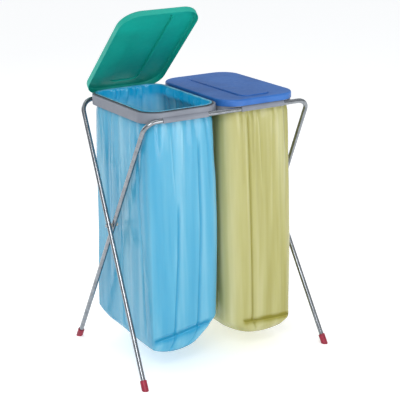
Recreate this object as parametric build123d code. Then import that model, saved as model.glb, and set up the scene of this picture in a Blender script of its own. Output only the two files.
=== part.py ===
"""Folding double sack stand: two crossed tube frames, two lidded rings, two hanging sacks.

X runs to the right along the top bars, Y from the front to the rear and Z up.
The origin is on the floor, in the middle of the four feet.
All sizes are in millimetres.
"""
from build123d import *
import os
from math import hypot

# ---- frames: two bent tubes that cross like scissors
BAR_HEIGHT = 880.0        # floor to the axis of both top bars
BAR_SPACING = 440.0       # axis of the front bar to axis of the rear bar
FOOT_SPACING = 556.0      # front feet to rear feet, at the floor
TOP_WIDTH = 620.0         # corner to corner of a frame, along its top bar
FOOT_WIDTH = 718.0        # leg to leg of a frame, at the floor
TUBE_OD = 16.0
TUBE_WALL = 1.0
BEND_RADIUS = 45.0        # of the tube's centre line
LEG_GAP = 2.6             # between the two legs where they cross

# ---- pivots: a rivet through each pair of crossing legs
RIVET_DIA = 6.0
RIVET_HEAD_DIA = 13.0
RIVET_HEAD_HEIGHT = 3.6
RIVET_TAIL = 4.0          # how far the shank stands out of the inner leg
RIVET_FIT = 0.05          # radial clearance in the legs
HEAD_GAP = 0.45           # head or cap to the leg beside it, which splays past them
SPACER_OD = 13.0
SPACER_THICKNESS = 1.6
SPACER_FIT = 0.2
CAP_FLANGE_DIA = 13.0
CAP_FLANGE_THICKNESS = 1.2
CAP_DOME_DIA = 11.0
CAP_ROOF = 1.5

# ---- feet: ferrules pushed over the leg ends, cut level with the floor
FOOT_OD = 23.0
FOOT_LENGTH = 34.0        # up the leg, from the floor
FOOT_FIT = 0.1            # radial, over the tube
FOOT_SOLE = 9.0           # along the leg, from the floor to the tube's end
FOOT_END_GAP = 0.1        # tube's end to the ferrule's floor
FOOT_EDGE = 2.0

# ---- rings: hinged on the rear bar, resting on the front bar
RING_WIDTH = 285.0
RING_OVERHANG = 3.0       # of the front and rear walls past the bars' axes
RING_CORNER = 68.0
RING_RISE = 26.0          # top of the ring above the bars' axis
RING_SKIRT = 34.0         # height of its outer wall
RING_LIP = 14.0           # height of its inner wall
RING_WALL = 2.5
RING_FLANGE = 16.0        # width of its flat top
RING_EDGE = 1.6
RING_SPACE = 8.0          # between the two rings
RING_SHIFT = -12.0        # middle of the pair, from the stand's middle
NOTCH_GAP = 0.6           # ring's walls round the bars
LIFT_ANGLE = 28.0         # the front notch leans so that the ring lifts off the bar
SADDLE_PAST = 8.0         # of the half-round saddle past the straight front, each side
SADDLE_GAP = 0.3
SADDLE_WALL = 2.5
SADDLE_FROM, SADDLE_TO = 55.0, 222.0
CLIP_LENGTH = 26.0        # snap clips round the rear bar
CLIP_INSET = 70.0         # ring's side to the clip's middle
CLIP_FIT = 0.08
CLIP_FROM, CLIP_TO = -40.0, 220.0

# ---- lid hinges, behind each ring
HINGE_BEHIND = 13.0       # pin's axis behind the ring's rear wall
HINGE_INSET = 65.0        # ring's side to the hinge's middle
HINGE_PIN_DIA = 3.0
HINGE_FIT = 0.05          # radial, pin in the lid's knuckle and the ring's lugs
LUG_RADIUS = 4.5
LUG_OVER_BAR = 0.5        # under the lugs, to the rear bar
LUG_THICKNESS = 4.0
KNUCKLE_LENGTH = 14.0
KNUCKLE_RADIUS = 4.2
KNUCKLE_GAP = 0.4         # knuckle to lug, along the pin

# ---- lids: shallow caps over the rings
LID_GAP = 1.2             # lid's wall to ring's wall
LID_WALL = 2.0
LID_HEADROOM = 8.0        # ring's top to the top of the roof
LID_OVER_SADDLE = 0.7     # under the skirt, to the saddle
LID_CUT_PAST = 20.0       # of the rear wall's cut-out past the lugs
LID_EDGE = 7.0
LID_REAR = 2.0            # rear wall's face behind the hinge axis
PANEL_WIDTH = 112.0       # raised band along the middle of the lid
PANEL_INSET = 32.0        # its ends from the lid's front and rear
PANEL_HEIGHT = 4.0
GROOVE_WIDTH = 4.0        # groove beside the band, towards the stand's middle, with a bead under it
GROOVE_DEPTH = 2.5
GROOVE_FRONT, GROOVE_REAR = 58.0, 88.0   # its ends from the lid's front and rear
LEFT_LID_OPEN = 42.0      # the left lid is stored half open

# ---- hoops: hold the rim of each sack in its ring
HOOP_GAP = 0.6            # hoop's band to the ring's inner wall
HOOP_WALL = 2.4
HOOP_BAND = 20.0          # below the ring's top
HOOP_LIP = 9.0            # its lip over the ring's top
HOOP_LIP_THICKNESS = 2.5
HOOP_SEAT = 0.3

# ---- sacks: open film bags that hang from the hoops
SACK_WALL = 1.0
SACK_PLAY = 0.5           # film to the hoop round it
SACK_BELOW_RIM = 0.8      # sack's edge below the hoop's top
SACK_SECTIONS = [         # height from a datum; how much wider and deeper each side than the neck
    ("bar", 4.0, 0.0, 0.0),
    ("bar", -12.0, 7.0, 2.0),
    ("bar", -50.0, 11.0, 9.0),
    ("floor", 600.0, 15.0, 13.0),
    ("floor", 260.0, 17.0, 15.0),
    ("floor", 140.0, 12.0, 9.0),
    ("floor", 97.0, -8.0, -8.0),
    ("floor", 84.0, -36.0, -38.0),
]

# ---- worked out from the sizes above
TUBE_R = TUBE_OD / 2
BAR_Y = BAR_SPACING / 2
FOOT_Y = FOOT_SPACING / 2
LEG_RUN = BAR_Y + FOOT_Y
LEG_LENGTH = hypot(LEG_RUN, BAR_HEIGHT, (FOOT_WIDTH - TOP_WIDTH) / 2)
SIDE_SHIFT = (TUBE_OD + LEG_GAP) / 2
CROSSING = BAR_Y / LEG_RUN
PIVOT_Z = BAR_HEIGHT * (1 - CROSSING)
PIVOT_HALF = TOP_WIDTH / 2 + (FOOT_WIDTH - TOP_WIDTH) / 2 * CROSSING
RING_DEPTH = BAR_SPACING + 2 * RING_OVERHANG
RING_TOP = BAR_HEIGHT + RING_RISE
MOUTH_WIDTH = RING_WIDTH - 2 * RING_FLANGE
MOUTH_DEPTH = RING_DEPTH - 2 * RING_FLANGE
MOUTH_CORNER = RING_CORNER - RING_FLANGE
HINGE_Y = RING_DEPTH / 2 + HINGE_BEHIND
HINGE_Z = BAR_HEIGHT + TUBE_R + LUG_OVER_BAR + LUG_RADIUS
HINGE_OFFSET = RING_WIDTH / 2 - HINGE_INSET
SIDES = {"left": -1, "right": 1}


def leg_point(bar_side, side, share):
    """Point on a leg's axis: share 0 at the top corner, 1 at the floor."""
    half = TOP_WIDTH / 2 + (FOOT_WIDTH - TOP_WIDTH) / 2 * share
    x = -bar_side * SIDE_SHIFT + side * half
    return Vector(x, bar_side * (BAR_Y - LEG_RUN * share), BAR_HEIGHT * (1 - share))


def along_x(radius, length, x_mid, y, z):
    """Round bar along X."""
    return Pos(x_mid, y, z) * Rot(0, 90, 0) * Cylinder(radius, length)


def slab(width, depth, corner, low, high, x_mid=0.0, y_mid=0.0):
    """Rounded rectangle between two heights."""
    outline = Pos(x_mid, y_mid, low) * RectangleRounded(width, depth, corner)
    return extrude(outline, high - low)


def half_pipe(inner, outer, start, end, x_mid, length, y, z):
    """Part of a tube round an X axis, from one angle to another (0 is the rear, 90 the top)."""
    sweep_angle = end - start
    rim = CenterArc((0, 0), outer, start, sweep_angle)
    bore = CenterArc((0, 0), inner, start, sweep_angle)
    section = make_face([rim, bore, Line(rim @ 0, bore @ 0), Line(rim @ 1, bore @ 1)])
    place = Plane(origin=(x_mid - length / 2, y, z), x_dir=(0, 1, 0), z_dir=(1, 0, 0))
    return extrude(place * section, length)


def frame(bar_side):
    """Tube frame: bar_side is -1 for the frame with the front bar, 1 for the rear bar."""
    end = 1 - FOOT_SOLE / LEG_LENGTH
    points = [
        leg_point(bar_side, -1, end),
        leg_point(bar_side, -1, 0),
        leg_point(bar_side, 1, 0),
        leg_point(bar_side, 1, end),
    ]
    line = FilletPolyline(*points, radius=BEND_RADIUS)
    section = Circle(TUBE_R) - Circle(TUBE_R - TUBE_WALL)
    tube = sweep(Plane(origin=line @ 0, z_dir=line % 0) * section, path=line)
    bore = RIVET_DIA / 2 + RIVET_FIT
    return tube - along_x(bore, FOOT_WIDTH + 4 * TUBE_OD, 0, 0, PIVOT_Z)


def foot(bar_side, side):
    """Ferrule on a leg's lower end, level with the floor underneath."""
    floor_point = leg_point(bar_side, side, 1)
    up_leg = leg_point(bar_side, side, 0) - floor_point
    place = Plane(origin=floor_point, z_dir=up_leg)
    below = FOOT_OD
    body = Pos(0, 0, (FOOT_LENGTH - below) / 2) * Cylinder(FOOT_OD / 2, FOOT_LENGTH + below)
    body = fillet(body.edges().sort_by(Axis.Z)[-1], FOOT_EDGE)
    bore_height = FOOT_LENGTH - FOOT_SOLE + FOOT_END_GAP
    bore = Pos(0, 0, FOOT_LENGTH - bore_height / 2) * Cylinder(TUBE_R + FOOT_FIT, bore_height)
    ferrule = place * (body - bore)
    ground = Pos(floor_point.X, floor_point.Y, -below) * Box(4 * FOOT_OD, 4 * FOOT_OD, 2 * below)
    return ferrule - ground


def pivot_ends(side):
    """Outer and inner faces of the pair of legs at a pivot, along X."""
    outer = side * (PIVOT_HALF + SIDE_SHIFT + TUBE_R + HEAD_GAP)
    inner = side * (PIVOT_HALF - SIDE_SHIFT - TUBE_R - HEAD_GAP)
    return outer, inner


def pivot_rivet(side):
    """Domed rivet: head outside, shank through both legs."""
    outer, inner = pivot_ends(side)
    tail = inner - side * RIVET_TAIL
    shank = along_x(RIVET_DIA / 2, abs(outer - tail), (outer + tail) / 2, 0, PIVOT_Z)
    head = Cylinder(RIVET_HEAD_DIA / 2, RIVET_HEAD_HEIGHT, align=(Align.CENTER, Align.CENTER, Align.MIN))
    head = fillet(head.edges().sort_by(Axis.Z)[-1], RIVET_HEAD_HEIGHT * 0.85)
    return shank + Pos(outer, 0, PIVOT_Z) * Rot(0, side * 90, 0) * head


def pivot_spacer(side):
    """Washer between the two legs."""
    washer = along_x(SPACER_OD / 2, SPACER_THICKNESS, side * PIVOT_HALF, 0, PIVOT_Z)
    bore = RIVET_DIA / 2 + SPACER_FIT
    return washer - along_x(bore, 2 * SPACER_THICKNESS, side * PIVOT_HALF, 0, PIVOT_Z)


def pivot_cap(side):
    """Push-on cap over the rivet's tail."""
    inner = pivot_ends(side)[1]
    up = (Align.CENTER, Align.CENTER, Align.MIN)
    flange = Cylinder(CAP_FLANGE_DIA / 2, CAP_FLANGE_THICKNESS, align=up)
    dome = Cylinder(CAP_DOME_DIA / 2, RIVET_TAIL + CAP_ROOF, align=up)
    dome = fillet(dome.edges().sort_by(Axis.Z)[-1], CAP_ROOF)
    bore = Cylinder(RIVET_DIA / 2 + RIVET_FIT, RIVET_TAIL + RIVET_FIT, align=up)
    return Pos(inner, 0, PIVOT_Z) * Rot(0, -side * 90, 0) * (flange + dome - bore)


def ring_x(side):
    return RING_SHIFT + side * (RING_WIDTH + RING_SPACE) / 2


def front_notch(x_mid):
    """Space that the front bar takes as the ring comes down on it."""
    radius = TUBE_R + NOTCH_GAP
    reach = RING_SKIRT
    straight = Pos(x_mid, -BAR_Y, BAR_HEIGHT - reach / 2) * Box(RING_WIDTH, 2 * radius, reach)
    turned = Rot(LIFT_ANGLE, 0, 0) * Pos(0, 0, -reach / 2) * Box(RING_WIDTH, 2 * radius, reach)
    leaning = Pos(x_mid, -BAR_Y, BAR_HEIGHT) * turned
    return along_x(radius, RING_WIDTH, x_mid, -BAR_Y, BAR_HEIGHT) + straight + leaning


def rear_notch(x_mid):
    """Space round the rear bar, open below so that the clips snap on."""
    radius = TUBE_R + NOTCH_GAP
    straight = Pos(x_mid, BAR_Y, BAR_HEIGHT - RING_SKIRT / 2) * Box(RING_WIDTH, 2 * radius, RING_SKIRT)
    return along_x(radius, RING_WIDTH, x_mid, BAR_Y, BAR_HEIGHT) + straight


def hinge_lugs(x_mid):
    """Two pairs of lugs that hold the lid's pins."""
    wall = RING_DEPTH / 2 - RING_WALL / 2
    spacing = KNUCKLE_LENGTH / 2 + KNUCKLE_GAP + LUG_THICKNESS / 2
    lugs = []
    for offset in (-HINGE_OFFSET, HINGE_OFFSET):
        for end in (-spacing, spacing):
            x = x_mid + offset + end
            web = Pos(x, (wall + HINGE_Y) / 2, HINGE_Z) * Box(LUG_THICKNESS, HINGE_Y - wall, 2 * LUG_RADIUS)
            lugs.append(web + along_x(LUG_RADIUS, LUG_THICKNESS, x, HINGE_Y, HINGE_Z))
    return lugs


def bag_ring(side):
    """Moulded channel ring with a saddle for the front bar and clips for the rear bar."""
    x = ring_x(side)
    outer = slab(RING_WIDTH, RING_DEPTH, RING_CORNER, RING_TOP - RING_SKIRT, RING_TOP, x)
    outer = fillet(outer.edges().group_by(Axis.Z)[-1], RING_EDGE)
    channel_low = RING_TOP - RING_SKIRT - 1
    channel = slab(
        RING_WIDTH - 2 * RING_WALL, RING_DEPTH - 2 * RING_WALL, RING_CORNER - RING_WALL,
        channel_low, RING_TOP - RING_WALL, x)
    lip = slab(
        MOUTH_WIDTH + 2 * RING_WALL, MOUTH_DEPTH + 2 * RING_WALL, MOUTH_CORNER + RING_WALL,
        RING_TOP - RING_LIP, RING_TOP - RING_WALL, x)
    mouth = slab(MOUTH_WIDTH, MOUTH_DEPTH, MOUTH_CORNER, channel_low, RING_TOP + 1, x)
    ring = outer - (channel - lip) - mouth - front_notch(x) - rear_notch(x)
    saddle_bore = TUBE_R + SADDLE_GAP
    ring += half_pipe(
        saddle_bore, saddle_bore + SADDLE_WALL, SADDLE_FROM, SADDLE_TO,
        x, RING_WIDTH - 2 * RING_CORNER + 2 * SADDLE_PAST, -BAR_Y, BAR_HEIGHT)
    clip_bore = TUBE_R + CLIP_FIT
    clip_offset = RING_WIDTH / 2 - CLIP_INSET
    for offset in (-clip_offset, clip_offset):
        ring += half_pipe(
            clip_bore, clip_bore + RING_WALL, CLIP_FROM, CLIP_TO,
            x + offset, CLIP_LENGTH, BAR_Y, BAR_HEIGHT)
    for lug in hinge_lugs(x):
        ring += lug
    return ring - along_x(HINGE_PIN_DIA / 2 + HINGE_FIT, RING_WIDTH, x, HINGE_Y, HINGE_Z)


def hinge_pins(side):
    """Two short pins, one for each knuckle."""
    length = KNUCKLE_LENGTH + 2 * KNUCKLE_GAP + 2 * LUG_THICKNESS
    pins = []
    for offset in (-HINGE_OFFSET, HINGE_OFFSET):
        pins.append(along_x(HINGE_PIN_DIA / 2, length, ring_x(side) + offset, HINGE_Y, HINGE_Z))
    return Compound(pins)


def lid(side):
    """Shallow cap with a raised band, hinged low at its rear edge; closed here."""
    x = ring_x(side)
    front = -(RING_DEPTH / 2 + LID_GAP + LID_WALL)
    rear = HINGE_Y + LID_REAR
    width = RING_WIDTH + 2 * (LID_GAP + LID_WALL)
    depth = rear - front
    y = (front + rear) / 2
    corner = RING_CORNER + LID_GAP + LID_WALL
    low = BAR_HEIGHT + TUBE_R + SADDLE_GAP + SADDLE_WALL + LID_OVER_SADDLE
    high = RING_TOP + LID_HEADROOM
    shell = slab(width, depth, corner, low, high, x, y)
    shell = fillet(shell.edges().group_by(Axis.Z)[-1], LID_EDGE)
    hollow = slab(
        width - 2 * LID_WALL, depth - 2 * LID_WALL, corner - LID_WALL,
        low - 1, high - LID_WALL, x, y)
    hollow = fillet(hollow.edges().group_by(Axis.Z)[-1], LID_EDGE - LID_WALL)
    panel_length = depth - 2 * PANEL_INSET
    panel = slab(PANEL_WIDTH, panel_length, PANEL_WIDTH / 4, high - LID_WALL / 2, high + PANEL_HEIGHT, x, y)
    panel = fillet(panel.edges().group_by(Axis.Z)[-1], PANEL_HEIGHT * 0.8)
    recess = slab(
        PANEL_WIDTH - 2 * LID_WALL, panel_length - 2 * LID_WALL, PANEL_WIDTH / 4 - LID_WALL,
        high - 2 * LID_WALL, high + PANEL_HEIGHT - LID_WALL, x, y)
    groove_x = x - side * (PANEL_WIDTH / 2 + GROOVE_WIDTH)
    groove_length = depth - GROOVE_FRONT - GROOVE_REAR
    groove_y = y + (GROOVE_FRONT - GROOVE_REAR) / 2
    groove = Pos(groove_x, groove_y, high) * Box(GROOVE_WIDTH, groove_length, 2 * GROOVE_DEPTH)
    bead_low = high - LID_WALL - GROOVE_DEPTH
    bead = slab(
        GROOVE_WIDTH + 2 * LID_WALL, groove_length + 2 * LID_WALL, GROOVE_WIDTH / 2 + LID_WALL / 2,
        bead_low, high - LID_WALL / 2, groove_x, groove_y)
    cap = shell - hollow + panel - recess + bead - groove
    clear = LUG_RADIUS + 2 * KNUCKLE_GAP
    cut_half = HINGE_OFFSET + KNUCKLE_LENGTH / 2 + KNUCKLE_GAP + LUG_THICKNESS + LID_CUT_PAST
    cap -= Pos(x, HINGE_Y, HINGE_Z) * Box(2 * cut_half, 4 * LID_REAR + LID_WALL, 2 * clear)
    for offset in (-HINGE_OFFSET, HINGE_OFFSET):
        cap += along_x(KNUCKLE_RADIUS, KNUCKLE_LENGTH, x + offset, HINGE_Y, HINGE_Z)
        web_low = HINGE_Z + KNUCKLE_RADIUS / 2
        web_height = clear + LID_WALL - KNUCKLE_RADIUS / 2
        cap += Pos(x + offset, rear - LID_WALL / 2 - LID_REAR / 4, web_low + web_height / 2) * Box(
            KNUCKLE_LENGTH, LID_WALL + LID_REAR / 2, web_height)
    return cap - along_x(HINGE_PIN_DIA / 2 + HINGE_FIT, RING_WIDTH, x, HINGE_Y, HINGE_Z)


def opened(cap, angle):
    """Turn a lid about its hinge pins."""
    return Pos(0, HINGE_Y, HINGE_Z) * Rot(-angle, 0, 0) * Pos(0, -HINGE_Y, -HINGE_Z) * cap


def bag_hoop(side):
    """Angle-section hoop: the band drops inside the ring, the lip sits on its top."""
    x = ring_x(side)
    width = MOUTH_WIDTH - 2 * HOOP_GAP
    depth = MOUTH_DEPTH - 2 * HOOP_GAP
    corner = MOUTH_CORNER - HOOP_GAP
    seat = RING_TOP + HOOP_SEAT
    top = seat + HOOP_LIP_THICKNESS
    reach = HOOP_GAP + HOOP_LIP
    hoop = slab(width, depth, corner, RING_TOP - HOOP_BAND, top, x)
    hoop += slab(width + 2 * reach, depth + 2 * reach, corner + reach, seat, top, x)
    hoop = fillet(hoop.edges().group_by(Axis.Z)[-1], HOOP_LIP_THICKNESS / 3)
    return hoop - slab(
        width - 2 * HOOP_WALL, depth - 2 * HOOP_WALL, corner - HOOP_WALL,
        RING_TOP - HOOP_BAND - 1, top + 1, x)


def sack_body(x, inset, top):
    """Solid of the sack's shape, shrunk by an inset all round."""
    neck_inset = HOOP_GAP + HOOP_WALL + SACK_PLAY
    half_width = MOUTH_WIDTH / 2 - neck_inset
    half_depth = MOUTH_DEPTH / 2 - neck_inset
    outlines = [(top, 0.0, 0.0)]
    for datum, height, wider, deeper in SACK_SECTIONS:
        base = BAR_HEIGHT if datum == "bar" else 0.0
        outlines.append((base + height, wider, deeper))
    outlines[-1] = (outlines[-1][0] + inset,) + outlines[-1][1:]
    faces = []
    for z, wider, deeper in outlines:
        corner = MOUTH_CORNER - neck_inset + min(wider, deeper) / 2 - inset
        outline = RectangleRounded(
            2 * (half_width + wider - inset), 2 * (half_depth + deeper - inset), corner)
        faces.append(Pos(x, 0, z) * outline)
    return loft(faces, ruled=True)


def sack(side):
    """Open sack: the neck lines the hoop, the body hangs below."""
    x = ring_x(side)
    top = RING_TOP + HOOP_SEAT + HOOP_LIP_THICKNESS - SACK_BELOW_RIM
    return sack_body(x, 0.0, top) - sack_body(x, SACK_WALL, top + 1)


def main():
    os.makedirs("parts", exist_ok=True)
    nodes = {"front_bar_frame": frame(-1), "rear_bar_frame": frame(1)}
    for name, side in SIDES.items():
        nodes[f"front_{name}_foot"] = foot(1, side)
        nodes[f"rear_{name}_foot"] = foot(-1, side)
        nodes[f"{name}_pivot_rivet"] = pivot_rivet(side)
        nodes[f"{name}_pivot_spacer"] = pivot_spacer(side)
        nodes[f"{name}_pivot_cap"] = pivot_cap(side)
        nodes[f"{name}_bag_ring"] = bag_ring(side)
        nodes[f"{name}_lid_hinge_pins"] = hinge_pins(side)
        nodes[f"{name}_bag_hoop"] = bag_hoop(side)
        nodes[f"{name}_sack"] = sack(side)
    nodes["left_lid"] = opened(lid(-1), LEFT_LID_OPEN)
    nodes["right_lid"] = lid(1)
    for name, shape in nodes.items():
        export_step(shape, f"parts/{name}.step")


main()
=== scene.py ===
# %% [markdown]
# # A folding double sack stand
# Two crossed frames of bent steel tube carry two moulded rings. Each ring holds
# an open plastic sack, clamped by a hoop, and has a lid hinged at its rear.
# Everything that has an exact size is already in the imported frame, which is
# loaded here as fixed meshes. Blender adds what a solid modeller can't give:
# the thin film of the sacks with its folds, and the finish of every surface.

# %% Load the frame, with a helper for the box of a part
import math
import random

import bpy
from mathutils import Matrix, Vector


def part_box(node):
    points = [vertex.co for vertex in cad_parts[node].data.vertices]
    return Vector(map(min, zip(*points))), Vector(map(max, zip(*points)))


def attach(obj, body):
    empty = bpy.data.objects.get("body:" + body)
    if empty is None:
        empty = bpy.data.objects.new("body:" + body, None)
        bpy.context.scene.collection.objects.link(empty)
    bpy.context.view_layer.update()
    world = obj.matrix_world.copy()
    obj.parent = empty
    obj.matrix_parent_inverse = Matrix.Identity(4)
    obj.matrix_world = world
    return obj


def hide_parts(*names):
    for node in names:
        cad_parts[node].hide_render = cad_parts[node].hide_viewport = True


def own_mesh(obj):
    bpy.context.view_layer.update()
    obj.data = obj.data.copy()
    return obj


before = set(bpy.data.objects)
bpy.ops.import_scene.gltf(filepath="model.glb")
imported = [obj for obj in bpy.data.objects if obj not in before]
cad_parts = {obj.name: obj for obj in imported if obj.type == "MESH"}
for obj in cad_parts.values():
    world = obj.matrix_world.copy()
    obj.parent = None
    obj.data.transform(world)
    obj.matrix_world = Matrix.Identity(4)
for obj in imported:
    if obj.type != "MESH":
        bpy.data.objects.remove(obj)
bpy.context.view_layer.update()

MM = 0.001

# %% [markdown]
# ## Helpers
# Colours are picked as sRGB hex values, as a colour picker shows them, but
# shaders want linear light. One function does that. Another adds a node, sets
# its values and wires its inputs, so a material reads from top to bottom.

# %% Colour and node helpers
def linear(hex_colour):
    """sRGB hex to linear RGBA."""
    channels = [int(hex_colour[i:i + 2], 16) / 255 for i in (1, 3, 5)]
    light = [c / 12.92 if c <= 0.04045 else ((c + 0.055) / 1.055) ** 2.4 for c in channels]
    return (*light, 1.0)


def add(material, kind, inputs=None, **settings):
    """Adds a node. An input is set to a value, or wired if it is given a socket."""
    made = material.node_tree.nodes.new(kind)
    for name, value in settings.items():
        setattr(made, name, value)
    for name, value in (inputs or {}).items():
        if isinstance(value, bpy.types.NodeSocket):
            material.node_tree.links.new(value, made.inputs[name])
        else:
            made.inputs[name].default_value = value
    return made


def new_material(name):
    """An empty node material, and its output node."""
    material = bpy.data.materials.new(name)
    material.use_nodes = True
    material.node_tree.nodes.clear()
    return material, add(material, "ShaderNodeOutputMaterial")


def set_stops(ramp, *stops):
    """Gives a Color Ramp node its colours, from (place, colour) pairs."""
    elements = ramp.color_ramp.elements
    while len(elements) < len(stops):
        elements.new(0.5)
    for element, (place, colour) in zip(elements, stops):
        element.position = place
        element.color = colour


def finish_with(material, output, shader):
    """Wires the shader to the output, and reports the material."""
    material.node_tree.links.new(shader.outputs[0], output.inputs["Surface"])
    print("material:", material.name, "with", len(material.node_tree.nodes), "nodes")
    return material


def dress(names, material):
    """Puts one material on some of the frame's nodes."""
    for name in names:
        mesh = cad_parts[name].data
        mesh.materials.clear()
        mesh.materials.append(material)


# %% [markdown]
# ## The tubes
# The frames are bright zinc plated steel tube, 16 mm across. Plating is a thin
# metal layer, so it mirrors its surroundings, a little blurred by the drawing
# marks of the tube and by faint cloudy patches left by the bath. It is a metal
# with a low roughness that varies slowly. The marks are too fine to see at this
# size, so they are drawn a few times coarser.

# %% Bright zinc plated steel
def zinc_plated_steel():
    material, output = new_material("zinc_plated_drawn_steel")
    place = add(material, "ShaderNodeTexCoord").outputs["Object"]
    clouds = add(material, "ShaderNodeTexNoise", {
        "Vector": place, "Scale": 55.0, "Detail": 4.0, "Roughness": 0.6})
    grain = add(material, "ShaderNodeTexNoise", {"Vector": place, "Scale": 900.0, "Detail": 2.0})
    tint = add(material, "ShaderNodeValToRGB", {"Fac": clouds.outputs["Fac"]})
    set_stops(tint, (0.30, linear("#7E8287")), (0.70, linear("#9CA0A5")))
    blur = add(material, "ShaderNodeMapRange", {
        "Value": clouds.outputs["Fac"], "To Min": 0.14, "To Max": 0.24})
    marks = add(material, "ShaderNodeBump", {
        "Height": grain.outputs["Fac"], "Strength": 0.02, "Distance": 0.0002})
    shader = add(material, "ShaderNodeBsdfPrincipled", {
        "Base Color": tint.outputs["Color"], "Metallic": 1.0,
        "Roughness": blur.outputs["Result"], "Normal": marks.outputs["Normal"]})
    return finish_with(material, output, shader)


tube_finish = zinc_plated_steel()
dress(["front_bar_frame", "rear_bar_frame"], tube_finish)

# %% [markdown]
# ## The moulded plastics
# Rings, hoops and lids are injection moulded polypropylene. It is waxy rather
# than glossy: a dielectric with a broad highlight, a fine etched texture from
# the mould, slow changes of shade where the melt flowed, and duller, scuffed
# patches. The same recipe serves every colour, with a different pigment. The
# grains of the etching are about 0.7 mm across.

# %% Moulded polypropylene
def moulded_polypropylene(name, dark, body, pale, roughness):
    material, output = new_material(name)
    place = add(material, "ShaderNodeTexCoord").outputs["Object"]
    flow = add(material, "ShaderNodeTexNoise", {
        "Vector": place, "Scale": 7.0, "Detail": 3.0, "Distortion": 0.6})
    texture = add(material, "ShaderNodeTexNoise", {"Vector": place, "Scale": 1400.0, "Detail": 2.0})
    scuffs = add(material, "ShaderNodeTexNoise", {
        "Vector": place, "Scale": 60.0, "Detail": 5.0, "Roughness": 0.7})
    tint = add(material, "ShaderNodeValToRGB", {"Fac": flow.outputs["Fac"]})
    set_stops(tint, (0.25, linear(dark)), (0.5, linear(body)), (0.8, linear(pale)))
    blur = add(material, "ShaderNodeMapRange", {
        "Value": scuffs.outputs["Fac"], "From Min": 0.3, "From Max": 0.7,
        "To Min": roughness - 0.05, "To Max": roughness + 0.08})
    skin = add(material, "ShaderNodeBump", {
        "Height": texture.outputs["Fac"], "Strength": 0.10, "Distance": 0.0003})
    shader = add(material, "ShaderNodeBsdfPrincipled", {
        "Base Color": tint.outputs["Color"], "Roughness": blur.outputs["Result"],
        "IOR": 1.49, "Normal": skin.outputs["Normal"]})
    return finish_with(material, output, shader)


ring_finish = moulded_polypropylene(
    "grey_moulded_polypropylene", "#70747F", "#7A7F8A", "#868A95", 0.46)
# The hoops are dark charcoal, and the film leaves the outer edge of their lip bare, so a dark line shows
# between ring and film that also stands in for the shadow in the gap there.
hoop_finish_and_gap_shade = moulded_polypropylene(
    "charcoal_polypropylene_and_gap_shade", "#2C3238", "#363D44", "#434A52", 0.42)
green_finish = moulded_polypropylene(
    "green_moulded_polypropylene", "#009484", "#00A08F", "#00A998", 0.50)
blue_finish = moulded_polypropylene(
    "blue_moulded_polypropylene", "#1C57A0", "#2361AE", "#3371BC", 0.42)
dress(["left_bag_ring", "right_bag_ring"], ring_finish)
dress(["left_bag_hoop", "right_bag_hoop"], hoop_finish_and_gap_shade)
dress(["left_lid"], green_finish)
dress(["right_lid"], blue_finish)

# %% [markdown]
# ## The small parts
# The feet are ferrules of soft crimson PVC, dip moulded, with a wet looking
# skin. The pivots are zinc plated rivets with a natural nylon washer between
# the legs and a push-on cap of the same nylon.

# %% Feet, pivots and pins
def soft_pvc():
    material, output = new_material("crimson_dipped_pvc")
    place = add(material, "ShaderNodeTexCoord").outputs["Object"]
    dirt = add(material, "ShaderNodeTexNoise", {"Vector": place, "Scale": 90.0, "Detail": 4.0})
    tint = add(material, "ShaderNodeValToRGB", {"Fac": dirt.outputs["Fac"]})
    set_stops(tint, (0.3, linear("#7C0426")), (0.7, linear("#9E0A34")))
    dimples = add(material, "ShaderNodeBump", {
        "Height": dirt.outputs["Fac"], "Strength": 0.2, "Distance": 0.0006})
    shader = add(material, "ShaderNodeBsdfPrincipled", {
        "Base Color": tint.outputs["Color"], "Roughness": 0.36, "IOR": 1.53,
        "Normal": dimples.outputs["Normal"]})
    return finish_with(material, output, shader)


def plain_nylon():
    material, output = new_material("natural_moulded_nylon")
    place = add(material, "ShaderNodeTexCoord").outputs["Object"]
    haze = add(material, "ShaderNodeTexNoise", {"Vector": place, "Scale": 300.0, "Detail": 3.0})
    tint = add(material, "ShaderNodeValToRGB", {"Fac": haze.outputs["Fac"]})
    set_stops(tint, (0.3, linear("#B9B7AE")), (0.7, linear("#CFCDC4")))
    shader = add(material, "ShaderNodeBsdfPrincipled", {
        "Base Color": tint.outputs["Color"], "Roughness": 0.45, "IOR": 1.53})
    return finish_with(material, output, shader)


sides = ("left", "right")
dress([f"{end}_{side}_foot" for end in ("front", "rear") for side in sides], soft_pvc())
dress([f"{side}_pivot_{part}" for side in sides for part in ("spacer", "cap")], plain_nylon())
dress([f"{side}_{pin}" for side in sides for pin in ("pivot_rivet", "lid_hinge_pins")], tube_finish)
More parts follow.
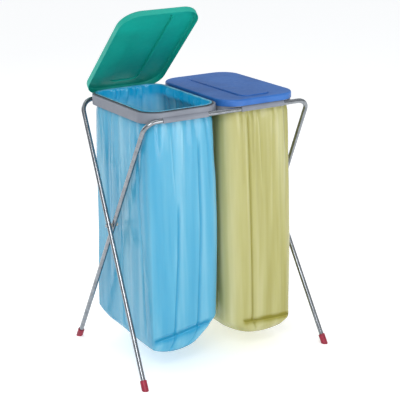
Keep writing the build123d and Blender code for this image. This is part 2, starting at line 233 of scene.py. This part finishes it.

# %% [markdown]
# ## The film of the sacks
# The sacks are blown polythene film, a few hundredths of a millimetre thick.
# Light goes through it, so the walls glow softly, while its folds catch long
# highlights. The shader is a glossy plastic with a little alpha, for the
# see-through, and some subsurface, for the glow. Two attributes of the mesh
# guide it. One deepens the colour where the film is doubled in the neck, paints
# shade into its creases and valleys and along the crease of the folded bottom,
# and paints highlights onto its ridges and its rim. The other paints a weak glow,
# by emission, inside the mouth, which stands in for daylight that comes through
# the film from behind. Fine streaks run down the sack, from the blowing of the tube.

# %% Blown polythene film
def blown_film(name, deep, body, pale, glow):
    """The piece's film_doubling_and_painted_light attribute is below 0 where the film is doubled, and where
    shade is painted into its creases and valleys; it is above 0 where highlights are painted onto its
    ridges and rim. Its film_mouth is 1 inside the mouth, where a painted glow stands in for light that
    comes through from behind."""
    material, output = new_material(name)
    place = add(material, "ShaderNodeTexCoord").outputs["Object"]
    drawn = add(material, "ShaderNodeMapping", {"Vector": place, "Scale": (1.0, 1.0, 0.06)})
    streaks = add(material, "ShaderNodeTexNoise", {
        "Vector": drawn.outputs["Vector"], "Scale": 20.0, "Detail": 3.0, "Roughness": 0.5})
    doubling_and_light_attribute = add(material, "ShaderNodeAttribute", attribute_name="film_doubling_and_painted_light")
    shade = add(material, "ShaderNodeMath", {
        0: streaks.outputs["Fac"], 1: doubling_and_light_attribute.outputs["Fac"]}, operation="ADD")
    tint = add(material, "ShaderNodeValToRGB", {"Fac": shade.outputs["Value"]})
    set_stops(tint, (0.10, linear(deep)), (0.50, linear(body)), (0.95, linear(pale)))
    mouth = add(material, "ShaderNodeAttribute", attribute_name="film_mouth")
    # The mouth's painted glow: an emission in the deep colour that stands in for daylight coming through
    # the film.
    painted_mouth_glow = add(material, "ShaderNodeMath", {0: mouth.outputs["Fac"], 1: glow}, operation="MULTIPLY")
    crinkle = add(material, "ShaderNodeTexNoise", {
        "Vector": drawn.outputs["Vector"], "Scale": 48.0, "Detail": 4.0, "Roughness": 0.55})
    skin = add(material, "ShaderNodeBump", {
        "Height": crinkle.outputs["Fac"], "Strength": 0.30, "Distance": 0.003})
    shader = add(material, "ShaderNodeBsdfPrincipled", {
        "Base Color": tint.outputs["Color"], "Roughness": 0.17, "IOR": 1.51, "Alpha": 0.90,
        "Subsurface Weight": 0.35, "Subsurface Radius": (4 * MM,) * 3, "Subsurface Scale": 1.0,
        "Emission Color": linear(deep), "Emission Strength": painted_mouth_glow.outputs["Value"],
        "Normal": skin.outputs["Normal"]})
    return finish_with(material, output, shader)


left_film = blown_film("blue_blown_polythene", "#0794C4", "#55ADD2", "#9CD4EA", 0.34)
right_film = blown_film("yellow_blown_polythene", "#969032", "#B9B574", "#DEDCAC", 0.06)

# %% [markdown]
# ## The shape of a sack
# The sack is a tube of film with a square-folded bottom. Its mouth is turned
# over the hoop, its neck lines the hoop, and its body hangs free and swells a
# little. It is made as a sheet of many small faces wrapped into a tube, whose
# every point is then placed by three rules: a rounded outline that changes
# with height, folds that run down the film, and a bottom that is tucked under.
# A cloth simulation could hang it too, but the pressed creases of a gusseted
# sack are folds from its packing, which no simulation of hanging would give.

# %% A rounded outline with its own radius at each corner
WIDE_POINTS, DEEP_POINTS, CORNER_POINTS = 84, 120, 18   # on the front, on a side, round a corner
AROUND = 2 * (WIDE_POINTS + DEEP_POINTS) + 4 * CORNER_POINTS


def outline(left, right, front, rear, radii):
    """Points and outward normals, anticlockwise from the front right corner. The sizes are
    distances from the axis. The radii are front right, rear right, rear left, front left."""
    corners = [(right, -front, -1, 1), (right, rear, -1, -1), (-left, rear, 1, -1), (-left, -front, 1, 1)]
    centres = [Vector((x + dx * r, y + dy * r)) for (x, y, dx, dy), r in zip(corners, radii)]
    found = []
    for k in range(4):
        for i in range(CORNER_POINTS):
            angle = math.radians(90 * (k - 1 + i / CORNER_POINTS))
            normal = Vector((math.cos(angle), math.sin(angle)))
            found.append((centres[k] + normal * radii[k], normal))
        angle = math.radians(90 * k)
        normal = Vector((math.cos(angle), math.sin(angle)))
        start = centres[k] + normal * radii[k]
        end = centres[(k + 1) % 4] + normal * radii[(k + 1) % 4]
        count = DEEP_POINTS if k % 2 == 0 else WIDE_POINTS
        found += [(start.lerp(end, i / count), normal) for i in range(count)]
    return found


def run_along(points):
    """How far round the outline each point is."""
    total, far = 0.0, []
    for (a, _), (b, _) in zip(points, points[1:] + points[:1]):
        far.append(total)
        total += (b - a).length
    return far, total


print("points round a sack:", AROUND)

# %% [markdown]
# ## Folds
# A fold is a soft valley or ridge that runs down the film at one place on its
# outline and fades in and out with height. Pressed creases are narrow. Gathers
# are the many small folds at the neck, where a wide sack is clamped in a
# narrower hoop. In the neck they only go inwards, because the hoop is behind
# them. They are drawn from a seeded list, so every run hangs the same.

# %% Folds, fades and blends
def fade(value, low, high):
    """0 below low, 1 above high, smooth between."""
    t = min(1.0, max(0.0, (value - low) / (high - low)))
    return t * t * (3 - 2 * t)


def between(value, pairs):
    """Straight-line lookup in (place, value, value, ...) rows that fall in place."""
    for upper, lower in zip(pairs, pairs[1:]):
        if value >= lower[0]:
            share = min(1.0, (value - lower[0]) / (upper[0] - lower[0]))
            return [lo + (up - lo) * share for up, lo in zip(upper[1:], lower[1:])]
    return list(pairs[-1][1:])


# A fold carries painted light: shade painted into its valley, a highlight painted onto its ridge.
SHARPNESS = 5.0                # a fold's tone is its depth over this many half widths
FOLD_SHADE_LIMIT, FOLD_HIGHLIGHT_LIMIT = -0.34, 0.30  # limits of the tone, in the valleys and on the ridges


def fold_at(folds, total, along, z):
    """Depth and painted light of the folds at a place on the outline and a height. A fold is
    (place, half width, depth, bottom, top, drift): positive depth goes outwards.
    Shade is painted into a valley and a highlight onto a ridge, more strongly on a sharp fold than on a
    broad one."""
    depth, tone = 0.0, 0.0
    for place, width, deep, bottom, top, drift in folds:
        away = (along - place - drift * (top - z) + total / 2) % total - total / 2
        if abs(away) < 3 * width:
            ends = fade(z, bottom - 40 * MM, bottom + 60 * MM)
            ends *= 1 - fade(z, top - 50 * MM, top + 10 * MM)
            swell = deep * math.exp(-(away / width) ** 2) * ends
            depth += swell
            tone += swell / (SHARPNESS * width)
    return depth, max(FOLD_SHADE_LIMIT, min(FOLD_HIGHLIGHT_LIMIT, tone))


def gathers(seed, total, count, deepest):
    """Small folds at the neck, which die out down the body."""
    draw = random.Random(seed)
    made = []
    for _ in range(count):
        made.append((
            draw.uniform(0, total), draw.uniform(4, 15) * MM, -draw.uniform(0.3, 1.0) * deepest,
            draw.uniform(0.42, 0.82), 0.915, draw.uniform(-0.04, 0.04)))
    return made


# %% [markdown]
# ## From the rim to the bottom
# The rows of the tube follow one line down the film: over the hoop's lip, down
# inside the hoop, out under the ring, down the body to the crease of the
# folded bottom, round the tucked flap, and in to the seam under the sack.

# %% How many rows, and the hoop they start from
RIM_ROWS, NECK_ROWS, BODY_ROWS, BASE_ROWS = 5, 6, 62, 4
FLAP_STEPS = (0.03, 0.06, 0.12, 0.20, 0.30, 0.42, 0.56, 0.72, 0.87, 1.0)   # shares of the flap
ROWS = RIM_ROWS + NECK_ROWS + BODY_ROWS + len(FLAP_STEPS) + BASE_ROWS
LIP_TO_MOUTH = 12.0 * MM      # the hoop's outer edge to its inner face
MOUTH_CORNER = 49 * MM        # radius of the hoop's inner face
BELOW_HOOP = 4 * MM           # the neck ends this far under the hoop
FILM_PLAY = 0.5 * MM          # between the neck and the hoop
LEAST_FLAP = 26 * MM          # the flap's edge is at least this far under the crease


class Hoop:
    """Sizes of one hoop, and the outline of its inner face, which the neck lines."""

    def __init__(self, side):
        low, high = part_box(f"{side}_bag_hoop")
        self.middle = (low + high) / 2
        self.top, self.low = high.z, low.z
        self.half_x = (high.x - low.x) / 2
        self.half_y = (high.y - low.y) / 2
        self.mouth_x, self.mouth_y = self.half_x - LIP_TO_MOUTH, self.half_y - LIP_TO_MOUTH
        self.neck_end = self.low - BELOW_HOOP
        self.face = outline(self.mouth_x, self.mouth_x, self.mouth_y, self.mouth_y, [MOUTH_CORNER] * 4)
        self.along, self.total = run_along(self.face)


print("rows down a sack:", ROWS)


# %% Over the lip and down the neck
RAGGED_WAVES = 7
# The rim film is drawn a little paler, a painted highlight, and carries part of the mouth's painted glow.
RIM_PAINTED_HIGHLIGHT, RIM_GLOW_SHARE = 0.1, 0.4


def rim_rows(hoop, shape):
    """Rows over the hoop's lip. Their edge is a little ragged, where the film was torn."""
    ragged = random.Random(shape["seed"] + 1)
    waves = [
        (ragged.uniform(0, 6.28), ragged.choice((3, 5, 7, 11, 17, 29)), ragged.uniform(0.2, 0.6))
        for _ in range(RAGGED_WAVES)]
    # The film starts inside the lip's outer edge, leaving a strip of the dark lip bare as painted gap
    # shadow.
    reaches_and_lifts = [
        (hoop.half_x - 4 * MM, 0.35), (hoop.half_x - 6.5 * MM, 0.45), (hoop.mouth_x + 2.5 * MM, 0.45),
        (hoop.mouth_x + 0.5 * MM, 0.1), (hoop.mouth_x - 0.35 * MM, -1.2)]
    rows = []
    for reach, lift in reaches_and_lifts:
        more = reach - hoop.mouth_x
        base = outline(reach, reach, hoop.mouth_y + more, hoop.mouth_y + more, [MOUTH_CORNER + more] * 4)
        row = []
        for (point, normal), place in zip(base, hoop.along):
            turn = 2 * math.pi * place / hoop.total
            wave = sum(size * math.sin(times * turn + phase) for phase, times, size in waves)
            if more < 0:
                wave = 0.0
            spot = point + normal * wave * MM * max(0.0, more - 2 * MM) / (8 * MM)
            z = hoop.top + lift * MM + 0.25 * MM * max(0.0, wave)
            row.append((hoop.middle.x + spot.x, hoop.middle.y + spot.y, z, RIM_PAINTED_HIGHLIGHT, RIM_GLOW_SHARE))
        rows.append(row)
    return rows


def neck_rows(hoop, shape, folds):
    """Rows down the hoop's inner face. Folds here only go inwards."""
    start = hoop.top - 3 * MM
    rows = []
    for step in range(NECK_ROWS):
        z = start + (hoop.neck_end - hoop.top + 3 * MM) * step / (NECK_ROWS - 1)
        row = []
        for (point, normal), place in zip(hoop.face, hoop.along):
            inwards, painted_fold_light = fold_at(folds, hoop.total, place, z)
            inwards = min(0.0, inwards) * (1 - 0.75 * fade(z, hoop.top - 9 * MM, hoop.top))
            spot = point + normal * (inwards - FILM_PLAY)
            # Seen from inside the mouth, an inward fold is a ridge, so its painted shade becomes a painted
            # highlight.
            tone = shape["neck_tone"] - painted_fold_light
            row.append((hoop.middle.x + spot.x, hoop.middle.y + spot.y, z, tone, 1.0))
        rows.append(row)
    return rows


# %% [markdown]
# ## The body and its folded bottom
# The body hangs as a rounded outline that widens a little under the ring. Its
# last row is the crease of the folded bottom, which slopes across the sack.
# Below the crease the film is doubled: it steps outwards and turns under, as a
# flap, to an edge that is a shallow bowl across the front.

# %% Down the body and round the flap
def body_outline(hoop, shape, z, flap):
    """Outline at a height, or at a share of the flap."""
    wider, deeper, corner = between(z, shape["body"])
    trim = [cut + flap ** 2 * more for cut, more in zip(between(z, shape["trim"]), shape["flap_trim"])]
    sharp = [
        change * (1 - flap) + flap * more
        for change, more in zip(between(z, shape["corners"]), shape["flap_corners"])]
    return outline(
        hoop.mouth_x + wider - trim[3], hoop.mouth_x + wider - trim[1],
        hoop.mouth_y + deeper - trim[0], hoop.mouth_y + deeper - trim[2], [corner + c for c in sharp])


def crease_and_foot(shape, across, back):
    """Heights of the bottom's crease and of the flap's edge at a place across and along the sack."""
    height, slope_across, slope_back = shape["crease"]
    crease = height + slope_across * across + slope_back * back
    level, slope, bow, rise = shape["foot"]
    foot = level + (slope * across + bow * across ** 2) * (0.8 - 0.2 * back) + rise * (back + 1) ** 2
    return crease, min(foot, crease - LEAST_FLAP)


def body_point(hoop, shape, folds, spot, share, flap):
    """Place, tone and mouth of one point. The spot is its point and normal, and how far round it is."""
    point, normal, place = spot
    across, back = point.x / hoop.mouth_x, point.y / hoop.mouth_y
    crease, foot = crease_and_foot(shape, across, back)
    creased = fade(abs(normal.y), 0.55, 0.98)      # the crease shows at the front and the rear only
    creased *= 1 - fade(abs(across - shape["crease_middle"]), *shape["crease_reach"])
    z = hoop.neck_end + (crease - hoop.neck_end) * share
    z += (foot - z) * flap
    depth, tone = fold_at(folds, hoop.total, place, z)
    tone += shape["neck_tone"] * fade(z, hoop.low - 25 * MM, hoop.low)
    # Painted shadow: the film is drawn darker just above the crease, in the step under the flap's edge, and
    # along the top of the flap.
    if flap == 0.0:
        depth -= creased * shape["flap_step"] * (1 - fade(z - crease, 0.0, 22 * MM))
        tone -= creased * 0.42 * (1 - fade(z - crease, 0.0, 9 * MM))
    else:
        depth += creased * shape["flap_step"] * fade(flap, 0.0, 0.06) * (1 - fade(flap, 0.4, 1.0))
        tone += creased * (0.02 - 0.45 * (1 - fade(flap, 0.05, 0.45)))
    at = point + normal * depth
    # Painted glow on the upper rear wall, which is seen from inside the mouth.
    mouth = fade(z, hoop.low - 100 * MM, hoop.low) * fade(normal.y, 0.2, 0.9)
    return (hoop.middle.x + at.x, hoop.middle.y + at.y, z, tone, mouth)


def body_rows(hoop, shape, folds):
    """Rows from under the hoop to the crease, and round the flap below it."""
    rows = []
    steps = [((step + 1) / BODY_ROWS, 0.0) for step in range(BODY_ROWS)]
    steps += [(1.0, flap) for flap in FLAP_STEPS]
    for share, flap in steps:
        rough_height = hoop.neck_end + (shape["crease"][0] - hoop.neck_end) * share
        base = body_outline(hoop, shape, rough_height, flap)
        rows.append([
            body_point(hoop, shape, folds, (point, normal, place), share, flap)
            for (point, normal), place in zip(base, hoop.along)])
    return rows


# %% [markdown]
# ## Closing the bottom
# Under the flap the film runs in to a straight seam along the middle, a little
# higher than the flap's edge. The last part of this step puts all the rows
# together, and finds the folds' places on the outline.

# %% In to the seam, and all the rows
SEAM_LENGTH = 0.8      # share of the mouth's width


def base_rows(hoop, shape, last):
    """Rows from the flap's edge to the seam."""
    rows = []
    for step in range(1, BASE_ROWS + 1):
        share = step / BASE_ROWS
        row = []
        for (x, y, z, tone, mouth), (point, _) in zip(last, hoop.face):
            seam_x = hoop.middle.x + point.x * SEAM_LENGTH
            row.append((
                x + (seam_x - x) * share, y + (hoop.middle.y - y) * share,
                z + (shape["seam_height"] - z) * fade(share, -0.3, 1.0), tone, mouth))
        rows.append(row)
    return rows


def shape_index(side, offset):
    """Number of the outline point at a share (-0.5 to 0.5) of a side, or of a corner."""
    starts = {"front_right": 0, "right": CORNER_POINTS}
    starts["rear_right"] = starts["right"] + DEEP_POINTS
    starts["rear"] = starts["rear_right"] + CORNER_POINTS
    starts["rear_left"] = starts["rear"] + WIDE_POINTS
    starts["left"] = starts["rear_left"] + CORNER_POINTS
    starts["front_left"] = starts["left"] + DEEP_POINTS
    starts["front"] = starts["front_left"] + CORNER_POINTS
    counts = {"front": WIDE_POINTS, "rear": WIDE_POINTS, "left": DEEP_POINTS, "right": DEEP_POINTS}
    count = counts.get(side, CORNER_POINTS)
    return (starts[side] + round((offset + 0.5) * (count - 1))) % AROUND


def sack_points(side, shape):
    """A row of points for every row of the tube, from the rim to the seam."""
    hoop = Hoop(side)
    folds = [(hoop.along[shape_index(*where)], *rest) for where, *rest in shape["creases"]]
    folds += gathers(shape["seed"], hoop.total, shape["gathers"], shape["gather_depth"])
    rows = rim_rows(hoop, shape) + neck_rows(hoop, shape, folds) + body_rows(hoop, shape, folds)
    return rows + base_rows(hoop, shape, rows[-1])


print("points on a sack:", ROWS * AROUND)

# %% [markdown]
# ## Making a sack
# A cylinder without ends is added with one face for each outline point. Its
# upright edges are cut into rows. Each vertex then moves to its place in the
# table of rows. The seam is merged, the film gets its thickness, and the piece
# is smoothed. On a real sack the film is far thinner; 0.6 mm is the least
# that stays two clean skins in the exported mesh.

# %% Build one sack
FILM_THICKNESS = 0.6 * MM


def only(thing):
    """Deselects everything and makes one object active."""
    bpy.ops.object.select_all(action="DESELECT")
    thing.select_set(True)
    bpy.context.view_layer.objects.active = thing


def make_sack(name, side, shape, film):
    bpy.ops.object.select_all(action="DESELECT")
    bpy.ops.mesh.primitive_cylinder_add(
        vertices=AROUND, radius=1.0, depth=1.0, end_fill_type="NOTHING", location=(0, 0, 0))
    sack = bpy.context.object
    sack.name = name
    bpy.ops.object.mode_set(mode="EDIT")
    bpy.ops.mesh.select_mode(type="EDGE")
    bpy.ops.object.mode_set(mode="OBJECT")
    for vertex in sack.data.vertices:
        vertex.select = False
    for face in sack.data.polygons:
        face.select = False
    for edge in sack.data.edges:
        a, b = (sack.data.vertices[v].co for v in edge.vertices)
        edge.select = abs(a.z - b.z) > 0.5
    bpy.ops.object.mode_set(mode="EDIT")
    bpy.ops.mesh.subdivide(number_cuts=ROWS - 2)
    bpy.ops.object.mode_set(mode="OBJECT")
    rows = sack_points(side, shape)
    film_doubling_and_painted_light = sack.data.attributes.new("film_doubling_and_painted_light", "FLOAT", "POINT")
    film_mouth = sack.data.attributes.new("film_mouth", "FLOAT", "POINT")
    for vertex in sack.data.vertices:
        turn = math.atan2(vertex.co.y, vertex.co.x) / (2 * math.pi) + 0.25
        row = round((0.5 - vertex.co.z) * (ROWS - 1))
        *place, tone, mouth = rows[row][round(turn * AROUND) % AROUND]
        vertex.co = place
        film_doubling_and_painted_light.data[vertex.index].value = tone
        film_mouth.data[vertex.index].value = mouth
    only(sack)
    bpy.ops.object.mode_set(mode="EDIT")
    bpy.ops.mesh.select_all(action="SELECT")
    bpy.ops.mesh.remove_doubles(threshold=0.02 * MM)
    bpy.ops.object.mode_set(mode="OBJECT")
    wall = sack.modifiers.new("film", "SOLIDIFY")
    wall.thickness, wall.offset = FILM_THICKNESS, -1.0
    bpy.ops.object.modifier_apply(modifier=wall.name)
    bpy.ops.object.shade_smooth()
    sack.data.materials.clear()
    sack.data.materials.append(film)
    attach(sack, f"{side}_ring_unit")
    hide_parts(f"{side}_sack")
    lowest = min(v.co.z for v in sack.data.vertices)
    print(name, "faces:", len(sack.data.polygons), "lowest point, mm:", round(lowest / MM, 1))
    return sack


# %% [markdown]
# ## The two sacks
# They are the same kind of sack, but they don't hang alike. The blue one
# stands square at its left and is rounded at its right, with a flap that rises
# to the right. The yellow one has a wide soft corner at its left and hangs a
# little lower in front.

# %% Blue sack
blue_shape = {
    "seed": 11, "gathers": 38, "gather_depth": 3.6 * MM,
    "body": [(0.890, 0.0, 0.0, 0.049), (0.868, 0.007, 0.002, 0.052), (0.845, 0.010, 0.006, 0.052),
             (0.780, 0.011, 0.008, 0.052), (0.500, 0.013, 0.009, 0.052), (0.300, 0.013, 0.010, 0.050),
             (0.150, 0.012, 0.009, 0.046)],
    "trim": [(0.90, 0, 0, 0, 0), (0.420, 0, 0, 0, 0), (0.220, 0, 0.004, -0.004, -0.004),
             (0.150, 0, 0.006, -0.004, -0.004)],
    "corners": [(0.90, 0, 0, 0, 0), (0.50, 0, 0, -0.010, -0.010), (0.150, 0.020, 0.010, -0.030, -0.030)],
    "flap_trim": (0.010, 0.040, 0.034, 0.004),
    "flap_corners": (0.034, 0.030, 0.020, -0.040),
    "flap_step": 4.5 * MM, "neck_tone": -0.30,
    "crease": (0.153, 0.018, 0.002), "crease_middle": -0.25, "crease_reach": (0.78, 0.98),
    "foot": (0.086, 0.034, 0.040, 0.010), "seam_height": 0.125,
    "creases": [
        (("front", -0.14), 3.0 * MM, -5.0 * MM, 0.08, 0.60, 0.0),
        (("front", -0.12), 22 * MM, 2.4 * MM, 0.10, 0.70, 0.0),
        (("front", 0.33), 3.6 * MM, -5.0 * MM, 0.10, 0.80, 0.004),
        (("front", -0.30), 2.5 * MM, 1.6 * MM, 0.62, 0.84, 0.06),
        (("front", -0.02), 2.2 * MM, 1.5 * MM, 0.70, 0.86, -0.03),
        (("left", 0.30), 2.5 * MM, 1.8 * MM, 0.56, 0.84, -0.05),
        (("left", -0.10), 2.5 * MM, 1.6 * MM, 0.66, 0.86, 0.05),
        (("front", 0.16), 14 * MM, 2.2 * MM, 0.20, 0.86, 0.0),
        (("front", -0.38), 12 * MM, -3.0 * MM, 0.15, 0.80, -0.006),
        (("front_left", 0.0), 9 * MM, 3.0 * MM, 0.12, 0.86, 0.0),
        (("left", 0.42), 6 * MM, -3.5 * MM, 0.14, 0.84, 0.004),
        (("left", 0.20), 20 * MM, 2.0 * MM, 0.20, 0.80, 0.02),
        (("left", 0.0), 4 * MM, -2.6 * MM, 0.10, 0.60, 0.0),
        (("left", -0.25), 12 * MM, -2.6 * MM, 0.25, 0.85, -0.01),
        (("right", 0.0), 4 * MM, -2.6 * MM, 0.10, 0.60, 0.0),
        (("right", -0.30), 14 * MM, 2.2 * MM, 0.20, 0.85, 0.0),
        (("right", 0.30), 10 * MM, -2.6 * MM, 0.25, 0.85, 0.01),
        (("rear", -0.38), 7 * MM, -11 * MM, 0.86, 0.95, 0.02),
        (("rear", -0.20), 5 * MM, -8 * MM, 0.87, 0.95, -0.05),
        (("rear", -0.02), 8 * MM, -13 * MM, 0.85, 0.95, 0.04),
        (("rear", 0.16), 4 * MM, -7 * MM, 0.87, 0.95, 0.06),
        (("rear", 0.33), 7 * MM, -10 * MM, 0.86, 0.95, -0.03),
        (("right", 0.38), 8 * MM, -9 * MM, 0.86, 0.95, 0.05),
        (("rear", 0.0), 3.5 * MM, -3.0 * MM, 0.10, 0.62, 0.0),
        (("rear", 0.30), 12 * MM, 2.2 * MM, 0.2, 0.86, 0.0),
        (("rear", -0.30), 12 * MM, -2.6 * MM, 0.2, 0.80, 0.01),
    ],
}
left_sack = make_sack("left_film_sack", "left", blue_shape, left_film)

# %% Yellow sack
yellow_shape = dict(
    blue_shape, seed=29, gathers=40,
    trim=[(0.90, 0, 0, 0, 0), (0.400, 0.001, 0.001, 0.001, 0), (0.150, 0.005, 0.007, 0.010, 0.004)],
    corners=[(0.90, 0, 0, 0, 0), (0.50, 0, 0, 0, 0.010), (0.150, -0.004, 0, 0, 0.014)],
    flap_trim=(0.016, 0.014, 0.030, 0.016), flap_corners=(-0.010, 0.020, 0.020, 0.030),
    crease=(0.124, -0.008, 0.004), crease_middle=0.15, crease_reach=(0.70, 0.84),
    foot=(0.068, -0.006, 0.024, 0.010), seam_height=0.100,
    creases=[
        (("front", -0.30), 3.2 * MM, -5.0 * MM, 0.08, 0.88, 0.0),
        (("front", -0.18), 10 * MM, 3.0 * MM, 0.10, 0.88, 0.0),
        (("front", -0.38), 2.2 * MM, 1.6 * MM, 0.50, 0.86, 0.0),
        (("front", -0.05), 2.2 * MM, 1.5 * MM, 0.58, 0.86, 0.03),
        (("front", 0.28), 2.5 * MM, 1.5 * MM, 0.45, 0.86, -0.02),
        (("front", 0.20), 18 * MM, -2.6 * MM, 0.15, 0.85, -0.008),
        (("front", 0.42), 6 * MM, 2.6 * MM, 0.12, 0.86, 0.0),
        (("front", -0.45), 14 * MM, 2.6 * MM, 0.12, 0.86, 0.006),
    ] + blue_shape["creases"][10:])
right_sack = make_sack("right_film_sack", "right", yellow_shape, right_film)

# %% [markdown]
# ## The sacks' own meshes
# When the stand folds, the real sacks crumple up under their rings. Here each
# sack only gets its own copy of its mesh; it does not flatten as the frames close.

# %% Give each sack its own mesh
for sack, side in ((left_sack, "left"), (right_sack, "right")):
    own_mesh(sack)

# %% [markdown]
# ## Studio
# A matt pale floor wide enough to fill the view, soft large lamps above, in
# front and behind, and a pale surround. The surround is white at the horizon,
# grey a little above it and pale again overhead, which gives the tubes
# something to mirror, so that they read as metal.

# %% Floor
bpy.ops.object.select_all(action="DESELECT")
bpy.ops.mesh.primitive_plane_add(size=60, location=(0, 0, 0))
floor = bpy.context.object
floor.name = "floor"
paper, paper_output = new_material("matt_white_paper")
paper_shader = add(paper, "ShaderNodeBsdfPrincipled", {
    "Base Color": linear("#F4F4F4"), "Roughness": 0.95,
    "Emission Color": linear("#FFFFFF"), "Emission Strength": 0.40})
floor.data.materials.append(finish_with(paper, paper_output, paper_shader))

# %% Lamps and surround
def lamp(name, place, size, watts, target=(0, 0, 0.5)):
    bpy.ops.object.light_add(type="AREA", location=place)
    made = bpy.context.object
    made.name = name
    made.data.size, made.data.energy = size, watts
    made.rotation_euler = (Vector(target) - Vector(place)).to_track_quat("-Z", "Y").to_euler()
    print("lamp:", name, watts, "W")


lamp("key_lamp", (-2.4, -3.4, 3.0), 1.8, 72)
lamp("fill_lamp", (0.9, -4.4, 0.9), 2.4, 58, (0, 0, 0.9))
lamp("top_lamp", (0.3, 0.6, 3.6), 2.4, 16)
lamp("rear_lamp", (-1.5, 3.6, 2.2), 2.0, 34)
surround = bpy.data.worlds.new("pale_surround")
bpy.context.scene.world = surround
surround.use_nodes = True
heading = add(surround, "ShaderNodeTexCoord").outputs["Generated"]
upward = add(surround, "ShaderNodeSeparateXYZ", {"Vector": heading})
sky = add(surround, "ShaderNodeValToRGB", {"Fac": upward.outputs["Z"]})
set_stops(
    sky, (0.05, linear("#FFFFFF")), (0.14, linear("#8C9196")),
    (0.30, linear("#C4C8CC")), (0.7, linear("#F4F6F8")))
surround.node_tree.links.new(sky.outputs["Color"], surround.node_tree.nodes["Background"].inputs["Color"])
surround.node_tree.nodes["Background"].inputs["Strength"].default_value = 0.75
bpy.context.scene.view_settings.view_transform = "Standard"

# %% [markdown]
# ## Camera
# A long lens from the front left and a little above, as such a stand is shown
# in a catalogue. The view is shifted a little, because the stand sits left of
# the lens axis.

# %% Camera
CAMERA_PLACE = Vector((-2.089, -3.736, 1.7965))
AZIMUTH, ELEVATION, ROLL = math.radians(-31.23), math.radians(16.70), math.radians(-0.97)
back = Vector((
    math.sin(AZIMUTH) * math.cos(ELEVATION), -math.cos(AZIMUTH) * math.cos(ELEVATION), math.sin(ELEVATION)))
right = (-back).cross(Vector((0, 0, 1))).normalized()
up = right.cross(-back)
right, up = (math.cos(ROLL) * right + math.sin(ROLL) * up, -math.sin(ROLL) * right + math.cos(ROLL) * up)
turned = Matrix((right, up, back)).transposed()
camera_data = bpy.data.cameras.new("catalogue_camera")
camera_data.sensor_width, camera_data.lens = 36.0, 115.05
camera_data.shift_x, camera_data.shift_y = -0.10, 0.005
camera = bpy.data.objects.new("catalogue_camera", camera_data)
bpy.context.scene.collection.objects.link(camera)
camera.matrix_world = Matrix.Translation(CAMERA_PLACE) @ turned.to_4x4()
bpy.context.scene.camera = camera
print("camera at", [round(c, 3) for c in CAMERA_PLACE])

# %% [markdown]
# ## Finish
# The view layer is brought up to date.

# %% Finish
bpy.context.view_layer.update()
